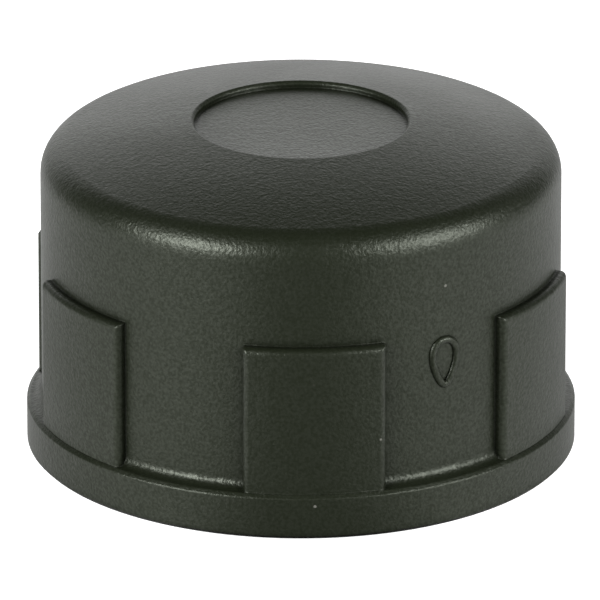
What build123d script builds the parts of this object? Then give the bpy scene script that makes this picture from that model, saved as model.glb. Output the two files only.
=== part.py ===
from build123d import *
from math import acos, asin, atan2, degrees, sqrt
import os

# Threaded protection cap, in mm: one moulded piece that stands on its open rim.
# Z is the axis of the cap and z = 0 is the plane of the rim.

# Thread that the cap screws onto: a one-inch parallel pipe thread
thread_major_d = 33.249
thread_room = 0.175        # radial room between the mating crests and the bore

# Shell
wall = 2.1                 # thickness of the round wall
crown_wall = 2.2           # thickness under the recess
height = 24.65             # rim to the lip of the recess
shoulder_radius = 2.25
crown_radius = 65.8        # sphere that the crown is part of
lead_in = 0.8              # slope inside the mouth
inner_corner = 1.8         # slope between the bore and the flat ceiling

# Flange round the mouth
ledge = 1.1                # how far it stands out from the wall
flange_height = 3.35
flange_edge = 0.25         # slope that breaks its two outer edges
root_radius = 0.75         # hollow between the wall and the top of the flange

# Recess in the crown
recess_d = 15.5
recess_depth = 0.5
lip = 0.2                  # slope that breaks its upper edge

# Grip pads, which climb the wall from the flange
pad_count = 6
pad_width = 10.0           # along the wall
pad_height = 11.05         # above the flange
pad_setback = 0.3          # from the flange's outer face in to the pad's face
pad_edge = 0.48            # rounding of the outer edges

# What follows from them
bore_r = thread_major_d / 2 + thread_room
wall_r = bore_r + wall
flange_r = wall_r + ledge
recess_r = recess_d / 2
recess_floor = height - recess_depth
ceiling = recess_floor - crown_wall
pad_r = flange_r - pad_setback
pad_reach = pad_r - wall_r
half_pad = degrees(asin(pad_width / 2 / wall_r))


def outside():
    """Flange, root, wall, shoulder, crown and recess as one turned form."""
    root = min(root_radius, 0.9 * (ledge - flange_edge))
    brim = min(lip, 0.9 * recess_depth)
    lip_r = recess_r + brim
    # Centres of the crown's sphere, on the axis, and of the shoulder's arc inside it
    crown_centre = height - sqrt(crown_radius**2 - lip_r**2)
    shoulder_in = wall_r - shoulder_radius
    shoulder_up = sqrt((crown_radius - shoulder_radius)**2 - shoulder_in**2)
    shoulder_turn = degrees(atan2(shoulder_up, shoulder_in))
    crown_turn = degrees(acos(lip_r / crown_radius)) - shoulder_turn
    with BuildPart() as form:
        with BuildSketch(Plane.XZ):
            with BuildLine():
                flange = Polyline(
                    (0, 0),
                    (flange_r - flange_edge, 0),
                    (flange_r, flange_edge),
                    (flange_r, flange_height - flange_edge),
                    (flange_r - flange_edge, flange_height),
                    (wall_r + root, flange_height),
                )
                foot = JernArc(flange @ 1, (-1, 0), root, -90)
                side = Line(foot @ 1, (wall_r, crown_centre + shoulder_up))
                shoulder = JernArc(side @ 1, (0, 1), shoulder_radius, shoulder_turn)
                crown = JernArc(shoulder @ 1, shoulder % 1, crown_radius, crown_turn)
                Polyline(
                    crown @ 1,
                    (recess_r, height - brim),
                    (recess_r, recess_floor),
                    (0, recess_floor),
                    (0, 0),
                )
            make_face()
        revolve(axis=Axis.Z)
    return form.part


def inside():
    """Slope at the mouth, bore, and the sloped corner of the flat ceiling."""
    with BuildPart() as room:
        with BuildSketch(Plane.XZ):
            with BuildLine():
                Polyline(
                    (0, 0),
                    (bore_r + lead_in, 0),
                    (bore_r, lead_in),
                    (bore_r, ceiling - inner_corner),
                    (bore_r - inner_corner, ceiling),
                    (0, ceiling),
                    close=True,
                )
            make_face()
        revolve(axis=Axis.Z)
    return room.part


def grip_pad():
    """One pad, facing -Y, sunk into the wall and the flange, its outer edges rounded."""
    sink = wall / 2
    with BuildPart() as pad:
        with BuildSketch(Plane.XZ):
            with Locations((wall_r - sink, flange_height - sink)):
                Rectangle(pad_reach + sink, pad_height + sink, align=(Align.MIN, Align.MIN))
        revolve(axis=Axis.Z, revolution_arc=2 * half_pad)
        grip_face = pad.faces().filter_by(GeomType.CYLINDER).sort_by(SortBy.AREA)[-1]
        rounded = grip_face.edges().filter_by(lambda edge: edge.center().Z > flange_height)
        fillet(rounded, min(pad_edge, 0.9 * pad_reach))
    return Rotation(0, 0, -90 - half_pad) * pad.part


def cap():
    """The whole moulding."""
    pad = grip_pad()
    pads = [Rotation(0, 0, 360 / pad_count * place) * pad for place in range(pad_count)]
    return outside() + pads - inside()


os.makedirs("parts", exist_ok=True)
export_step(cap(), "parts/cap.step")
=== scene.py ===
from math import cos, pi, radians, sin

import bmesh
import bpy
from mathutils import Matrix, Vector


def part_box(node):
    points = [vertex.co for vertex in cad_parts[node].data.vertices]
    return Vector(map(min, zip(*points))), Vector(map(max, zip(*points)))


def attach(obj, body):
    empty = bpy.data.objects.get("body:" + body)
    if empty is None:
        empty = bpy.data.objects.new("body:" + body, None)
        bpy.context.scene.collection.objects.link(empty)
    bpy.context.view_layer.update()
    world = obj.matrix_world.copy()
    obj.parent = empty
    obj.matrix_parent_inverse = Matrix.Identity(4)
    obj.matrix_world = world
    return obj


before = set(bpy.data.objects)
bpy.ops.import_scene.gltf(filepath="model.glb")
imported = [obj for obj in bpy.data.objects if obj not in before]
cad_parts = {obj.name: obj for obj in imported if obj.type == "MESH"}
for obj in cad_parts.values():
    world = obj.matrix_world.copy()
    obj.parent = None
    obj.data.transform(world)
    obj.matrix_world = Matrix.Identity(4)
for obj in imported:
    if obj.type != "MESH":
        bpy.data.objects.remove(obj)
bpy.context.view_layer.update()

# ---------------------------------------------------------------------------------------
# Shell
# The cap is one injection moulding in polyethylene, coloured in the mass to a dark olive black.
# The mould was spark-eroded, which leaves a fine even grain on every face. The outer edges are
# painted a little paler in patches: a painted highlight along them, which also stands for
# wear where caps rub against each other in the box.

LEDGE_WIDTH = 0.0011

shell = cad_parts["cap"]
crown_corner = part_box("cap")[1]
flange_radius = crown_corner.x
cap_height = crown_corner.z
wall_radius = flange_radius - LEDGE_WIDTH

PLASTIC = (0.0072, 0.0092, 0.0046, 1)
PLASTIC_WORN_AND_HIGHLIT = (0.018, 0.021, 0.013, 1)
PAINTED_CREASE_SHADE = (0.0015, 0.0018, 0.0010, 1)
GLOSS_TINT = (0.93, 1.0, 0.86, 1)
DUST = (0.45, 0.44, 0.40, 1)

FINE_GRAIN = 0.00022
FINE_GRAIN_DEPTH = 0.000035
COARSE_GRAIN = 0.0005
COARSE_GRAIN_DEPTH = 0.00003
FLOW_MARKS = 0.008
GLOSS = 0.28, 0.50              # least and most, from one fine pit to the next
ROUGHNESS = 0.37, 0.42          # least and most, from one flow mark to the next

EDGE_SOFTNESS = 0.00018
EDGE_LEAN = 0.995, 0.90         # cosine of the lean where an edge begins and where it is full
WORN_AND_HIGHLIT_SHARE = 0.6              # how far a worn and highlit edge goes over to the paler colour

DUST_CELLS_PER_METRE = 420.0
DUST_RADIUS = 0.055, 0.035      # in cells, where a speck begins and where it is full
DUST_LOT = 0.975, 0.985         # cells that draw more than this, out of 1, carry a speck
DUST_SHARE = 0.25               # how far a speck goes over to the colour of dust

CREASE_REACH = 0.0009
CREASE_OPENNESS = 0.35, 0.85    # from a full crease to an open face
CREASE_SHADE_SHARE = 0.15             # what is left of the gloss and the colour under the painted shade of a full crease

RECESS_RADIUS = 0.00775
RECESS_FADE = 0.0002
RECESS_SMOOTHER = 0.05          # taken off the roughness there


def add_node(tree, kind, **sockets):
    """Adds a shader node and sets its inputs by name, linking those given as sockets."""
    node = tree.nodes.new(kind)
    for name, value in sockets.items():
        socket = node.inputs[name.replace("_", " ")]
        if isinstance(value, bpy.types.NodeSocket):
            tree.links.new(value, socket)
        else:
            socket.default_value = value
    return node


def combined(tree, operation, first, second):
    """Result of one operation on two sockets, such as multiplying them."""
    node = tree.nodes.new("ShaderNodeMath")
    node.operation = operation
    tree.links.new(first, node.inputs[0])
    tree.links.new(second, node.inputs[1])
    return node.outputs["Value"]


def vector_node(tree, operation, *vectors):
    """Adds a node that works on one or two vectors."""
    node = tree.nodes.new("ShaderNodeVectorMath")
    node.operation = operation
    for vector, socket in zip(vectors, node.inputs):
        tree.links.new(vector, socket)
    return node


def spread(tree, value, low, high, to_low, to_high):
    """Maps value from low..high to to_low..to_high and clamps it."""
    node = add_node(tree, "ShaderNodeMapRange", Value=value)
    for name, number in (
        ("From Min", low),
        ("From Max", high),
        ("To Min", to_low),
        ("To Max", to_high),
    ):
        node.inputs[name].default_value = number
    return node.outputs["Result"]


def blended(tree, share, first, second):
    """Colour that runs from first to second as share goes from 0 to 1."""
    node = tree.nodes.new("ShaderNodeMix")
    node.data_type = "RGBA"
    # The colour sockets share their names with others, so they are taken by number
    for socket, value in (
        (node.inputs["Factor"], share),
        (node.inputs[6], first),
        (node.inputs[7], second),
    ):
        if isinstance(value, bpy.types.NodeSocket):
            tree.links.new(value, socket)
        else:
            socket.default_value = value
    return node.outputs[2]


def grain(tree, place, size, detail=2.0):
    """Noise from 0 to 1 whose spots are about as wide as size, in metres."""
    noise = add_node(tree, "ShaderNodeTexNoise", Vector=place, Scale=1 / size, Detail=detail)
    return noise.outputs["Fac"]


def moulded_plastic():
    """Spark-eroded polyethylene with paler edges as painted highlight and wear, painted shade in
    the creases and a few specks of dust.
    """
    material = bpy.data.materials.new("moulded_plastic")
    material.use_nodes = True
    tree = material.node_tree
    surface = tree.nodes["Principled BSDF"]
    place = add_node(tree, "ShaderNodeTexCoord").outputs["Object"]
    fine = grain(tree, place, FINE_GRAIN)
    coarse = grain(tree, place, COARSE_GRAIN)
    flow = grain(tree, place, FLOW_MARKS, 3.0)

    # The normal is softened at the edges, and how far it leans from the face tells where they are
    soft_edge = add_node(tree, "ShaderNodeBevel", Radius=EDGE_SOFTNESS)
    soft_edge.samples = 8
    normal = soft_edge.outputs["Normal"]
    face = add_node(tree, "ShaderNodeNewGeometry").outputs["Normal"]
    lean = vector_node(tree, "DOT_PRODUCT", normal, face).outputs["Value"]
    edge = spread(tree, lean, *EDGE_LEAN, 0.0, 1.0)
    # Paler patches on the edges: a painted highlight, which also stands for rubbing wear
    patchy = spread(tree, coarse, 0.35, 0.65, 0.0, WORN_AND_HIGHLIT_SHARE)
    worn_and_highlit = combined(tree, "MULTIPLY", edge, patchy)
    colour = blended(tree, worn_and_highlit, PLASTIC, PLASTIC_WORN_AND_HIGHLIT)

    # Dust settles as one small round speck in a few cells out of many
    cells = add_node(tree, "ShaderNodeTexVoronoi", Vector=place, Scale=DUST_CELLS_PER_METRE)
    speck = spread(tree, cells.outputs["Distance"], *DUST_RADIUS, 0.0, 1.0)
    lot = add_node(tree, "ShaderNodeSeparateColor", Color=cells.outputs["Color"])
    chosen = spread(tree, lot.outputs["Red"], *DUST_LOT, 0.0, DUST_SHARE)
    colour = blended(tree, combined(tree, "MULTIPLY", speck, chosen), colour, DUST)

    # Shade is painted into the creases: the colour goes darker and the gloss weaker there
    crease = add_node(tree, "ShaderNodeAmbientOcclusion", Distance=CREASE_REACH)
    crease.samples = 6
    unshaded_share = spread(tree, crease.outputs["AO"], *CREASE_OPENNESS, CREASE_SHADE_SHARE, 1.0)
    colour = blended(tree, unshaded_share, PAINTED_CREASE_SHADE, colour)
    sheen = spread(tree, fine, 0.35, 0.65, *GLOSS)
    gloss = combined(tree, "MULTIPLY", sheen, unshaded_share)

    # The face of the crown's recess came off a smoother part of the mould
    flat = add_node(tree, "ShaderNodeMapping", Vector=place, Scale=(1, 1, 0)).outputs["Vector"]
    axis_distance = vector_node(tree, "LENGTH", flat).outputs["Value"]
    rim = RECESS_RADIUS, RECESS_RADIUS - RECESS_FADE
    smoother = spread(tree, axis_distance, *rim, 0, RECESS_SMOOTHER)
    matt = spread(tree, flow, 0.3, 0.7, *ROUGHNESS)
    roughness = combined(tree, "SUBTRACT", matt, smoother)

    for height, depth in ((fine, FINE_GRAIN_DEPTH), (coarse, COARSE_GRAIN_DEPTH)):
        pits = add_node(
            tree, "ShaderNodeBump", Strength=1.0, Distance=depth, Height=height, Normal=normal,
        )
        normal = pits.outputs["Normal"]

    tree.links.new(colour, surface.inputs["Base Color"])
    tree.links.new(roughness, surface.inputs["Roughness"])
    tree.links.new(gloss, surface.inputs["Specular IOR Level"])
    tree.links.new(normal, surface.inputs["Normal"])
    surface.inputs["Specular Tint"].default_value = GLOSS_TINT
    return material


plastic = moulded_plastic()
shell.data.materials.clear()
shell.data.materials.append(plastic)

# ---------------------------------------------------------------------------------------
# Thread
# A one-inch parallel pipe thread runs up the bore, moulded with the shell and unscrewed from
# its core. Its ridge fades in behind the mouth and out below the ceiling.

BORE_RADIUS = 0.0167995
THREAD_CREST = 0.01524
THREAD_PITCH = 0.002309
THREAD_START = 0.0022
THREAD_TURNS = 5.5
FOOT_SINK = 0.00008             # depth of the ridge's foot in the wall, so that no gap shows
FADE_TURNS = 0.25
FADED_WIDTH = 0.3               # width of the ridge at its two ends, as a share of the full width
STEPS_PER_TURN = 72


def thread_ridge():
    """Right-hand ridge as a ribbon of one rounded 55-degree section, swept up the bore."""
    # Section from one flank over the crest to the other: height above the bore, 0 to 1,
    # and place along the axis, as a share of the pitch. The foot, at 0, is sunk in the wall.
    section = [(0.0, -0.47), (0.12, -0.41), (0.86, -0.155), (0.97, -0.10), (1.0, -0.04)]
    section += [(height, -across) for height, across in reversed(section)]
    mesh = bmesh.new()
    rings = []
    steps = int(THREAD_TURNS * STEPS_PER_TURN)
    for step in range(steps + 1):
        turn = step / STEPS_PER_TURN
        angle = 2 * pi * turn
        fade = min(1.0, turn / FADE_TURNS, (THREAD_TURNS - turn) / FADE_TURNS)
        rise = (BORE_RADIUS - THREAD_CREST) * fade
        width = FADED_WIDTH + (1 - FADED_WIDTH) * fade
        ring = []
        for height, across in section:
            radius = BORE_RADIUS - (rise * height if height > 0 else -FOOT_SINK)
            place = (
                radius * cos(angle),
                radius * sin(angle),
                THREAD_START + THREAD_PITCH * (turn + across * width),
            )
            ring.append(mesh.verts.new(place))
        rings.append(ring)
    for ring, following in zip(rings, rings[1:]):
        for this, that in zip(range(len(section)), range(1, len(section))):
            mesh.faces.new((ring[this], ring[that], following[that], following[this]))
        mesh.faces.new((ring[-1], ring[0], following[0], following[-1]))
    mesh.faces.new(rings[0])
    mesh.faces.new(list(reversed(rings[-1])))
    bmesh.ops.recalc_face_normals(mesh, faces=mesh.faces)
    return mesh


def moulded_piece(name, mesh):
    """Makes a smooth object of the cap's plastic from a mesh and fixes it to the shell."""
    data = bpy.data.meshes.new(name)
    mesh.to_mesh(data)
    mesh.free()
    for polygon in data.polygons:
        polygon.use_smooth = True
    piece = bpy.data.objects.new(name, data)
    bpy.context.scene.collection.objects.link(piece)
    data.materials.append(plastic)
    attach(piece, "root")
    return piece


moulded_piece("thread", thread_ridge())

# ---------------------------------------------------------------------------------------
# Mould mark
# A plain raised egg-shaped ring stands on the wall half-way between two grip pads, where the
# mould has an insert. It is part of the same moulding and carries no lettering.

MARK_ANGLE = radians(-60)
MARK_HEIGHT = 0.0121
MARK_HALF_WIDTH = 0.00095
MARK_HALF_LENGTH = 0.0017
MARK_TAPER = 0.38               # share by which it is wider above its middle, narrower below
MARK_HALF_BAND = 0.00030
MARK_RELIEF = 0.00026
MARK_SINK = 0.00003
MARK_STEPS = 72
MARK_STRIPS = 8


def mark_ring():
    """Half-round band along an egg-shaped line, wrapped on the wall."""
    mesh = bmesh.new()
    rings = []
    for step in range(MARK_STEPS):
        turn = 2 * pi * step / MARK_STEPS
        sideways = MARK_HALF_WIDTH * sin(turn) * (1 + MARK_TAPER * cos(turn))
        upwards = MARK_HALF_LENGTH * cos(turn)
        outwards = Vector((sin(turn) / MARK_HALF_WIDTH, cos(turn) / MARK_HALF_LENGTH)).normalized()
        ring = []
        for strip in range(MARK_STRIPS + 1):
            bow = pi * strip / MARK_STRIPS
            shift = -cos(bow) * MARK_HALF_BAND
            along = sideways + outwards.x * shift
            up = upwards + outwards.y * shift
            radius = wall_radius - MARK_SINK + (MARK_RELIEF + MARK_SINK) * sin(bow)
            angle = MARK_ANGLE + along / wall_radius
            place = (radius * cos(angle), radius * sin(angle), MARK_HEIGHT + up)
            ring.append(mesh.verts.new(place))
        rings.append(ring)
    for ring, following in zip(rings, rings[1:] + rings[:1]):
        for this in range(MARK_STRIPS):
            mesh.faces.new((ring[this], ring[this + 1], following[this + 1], following[this]))
        mesh.faces.new((ring[-1], ring[0], following[0], following[-1]))
    bmesh.ops.recalc_face_normals(mesh, faces=mesh.faces)
    return mesh


moulded_piece("mould_mark", mark_ring())

# ---------------------------------------------------------------------------------------
# Floor
# The cap stands on a matt white studio table. A wedge of it in front of the cap is painted grey,
# a painted shade on the table there, so that the front of the wall mirrors something darker
# than its sides do.

FLOOR_HALF = 6.0
FLOOR_WHITE = (0.80, 0.80, 0.80, 1)
FLOOR_PAINTED_SHADE = (0.28, 0.28, 0.28, 1)
FLOOR_ROUGHNESS = 0.9
ALL_GREY = -0.985               # Y of the direction out from the cap, where the wedge is full
ALL_WHITE = -0.84               # and where it ends
DIRECT_LIFT = 0.85
MIRRORED_SHARE = 0.32


def studio_floor():
    """Large matt table. Seen directly all of it is lifted to white and keeps the shadow.

    In mirror images only the white part is lifted, and by less.
    """
    mesh = bmesh.new()
    bmesh.ops.create_grid(mesh, x_segments=1, y_segments=1, size=FLOOR_HALF)
    data = bpy.data.meshes.new("floor")
    mesh.to_mesh(data)
    mesh.free()
    table = bpy.data.objects.new("floor", data)
    bpy.context.scene.collection.objects.link(table)

    material = bpy.data.materials.new("white_table")
    material.use_nodes = True
    tree = material.node_tree
    surface = tree.nodes["Principled BSDF"]
    place = add_node(tree, "ShaderNodeTexCoord").outputs["Object"]
    outwards = vector_node(tree, "NORMALIZE", place).outputs["Vector"]
    axes = add_node(tree, "ShaderNodeSeparateXYZ", Vector=outwards)
    # The grey wedge in front of the cap is painted shade on the table
    white_share = spread(tree, axes.outputs["Y"], ALL_GREY, ALL_WHITE, 0, 1)
    colour = blended(tree, white_share, FLOOR_PAINTED_SHADE, FLOOR_WHITE)
    tree.links.new(colour, surface.inputs["Base Color"])
    surface.inputs["Roughness"].default_value = FLOOR_ROUGHNESS
    surface.inputs["Specular IOR Level"].default_value = 0.0

    path = add_node(tree, "ShaderNodeLightPath")
    mirrored_share = spread(tree, white_share, 0, 1, 0, MIRRORED_SHARE)
    mirrored = combined(tree, "MULTIPLY", path.outputs["Is Glossy Ray"], mirrored_share)
    seen = combined(tree, "MAXIMUM", path.outputs["Is Camera Ray"], mirrored)
    strength = spread(tree, seen, 0, 1, 0, DIRECT_LIFT)
    lift = add_node(tree, "ShaderNodeEmission", Strength=strength)
    both = tree.nodes.new("ShaderNodeAddShader")
    tree.links.new(surface.outputs["BSDF"], both.inputs[0])
    tree.links.new(lift.outputs["Emission"], both.inputs[1])
    tree.links.new(both.outputs["Shader"], tree.nodes["Material Output"].inputs["Surface"])
    data.materials.append(material)


studio_floor()

# ---------------------------------------------------------------------------------------
# Studio light
# A lit white sweep stands straight behind the table, and the room round it is dim. Two soft
# boxes light the cap from the front left and the front right.

CAMERA_TURN = radians(-2.9)     # from straight in front of a grip pad towards its left
SWEEP_GLOW = 1.75
ROOM_GLOW = 0.035
SWEEP_RIM = 0.66                # Y of the direction in which the sweep's glow begins


def direction(turn, lift):
    """Direction from the cap, turned from straight in front and lifted above the table."""
    return Vector((sin(turn) * cos(lift), -cos(turn) * cos(lift), sin(lift)))


def studio_room():
    """World that is brightest straight behind the cap and dim to the sides, above and in front."""
    world = bpy.data.worlds.new("room")
    bpy.context.scene.world = world
    world.use_nodes = True
    tree = world.node_tree
    facing = add_node(tree, "ShaderNodeTexCoord").outputs["Generated"]
    axes = add_node(tree, "ShaderNodeSeparateXYZ", Vector=facing)
    glow = spread(tree, axes.outputs["Y"], SWEEP_RIM, 1.0, ROOM_GLOW, SWEEP_GLOW)
    tree.links.new(glow, tree.nodes["Background"].inputs["Strength"])
    tree.nodes["Background"].inputs["Color"].default_value = (1, 1, 1, 1)


def soft_box(name, turn, lift, distance, width, height, watts):
    """Rectangular lamp aimed at the cap: turn from the camera's side, lift above the table."""
    lamp = bpy.data.lights.new(name, "AREA")
    lamp.shape = "RECTANGLE"
    lamp.size, lamp.size_y = width, height
    lamp.energy = watts
    place = bpy.data.objects.new(name, lamp)
    bpy.context.scene.collection.objects.link(place)
    away = direction(CAMERA_TURN + radians(turn), radians(lift))
    place.location = Vector((0, 0, cap_height / 2)) + away * distance
    place.rotation_euler = away.to_track_quat("Z", "Y").to_euler()


studio_room()
soft_box("left_box", turn=-50, lift=22, distance=0.8, width=0.32, height=0.26, watts=9.0)
soft_box("right_box", turn=60, lift=22, distance=0.8, width=0.54, height=0.34, watts=8.5)

# ---------------------------------------------------------------------------------------
# Camera
# A long lens looks slightly down on the cap from in front of one grip pad.

CAMERA_LIFT = radians(21.54)
CAMERA_DISTANCE = 0.9
CAMERA_LENS = 741.9
SENSOR_WIDTH = 36
AIM = Vector((-0.00007, 0, 0.01057))

camera = bpy.data.cameras.new("camera")
camera.lens = CAMERA_LENS
camera.sensor_width = SENSOR_WIDTH
viewer = bpy.data.objects.new("camera", camera)
bpy.context.scene.collection.objects.link(viewer)
back = direction(CAMERA_TURN, CAMERA_LIFT)
viewer.location = AIM + back * CAMERA_DISTANCE
viewer.rotation_euler = back.to_track_quat("Z", "Y").to_euler()
bpy.context.scene.camera = viewer
bpy.context.scene.view_settings.view_transform = "Standard"
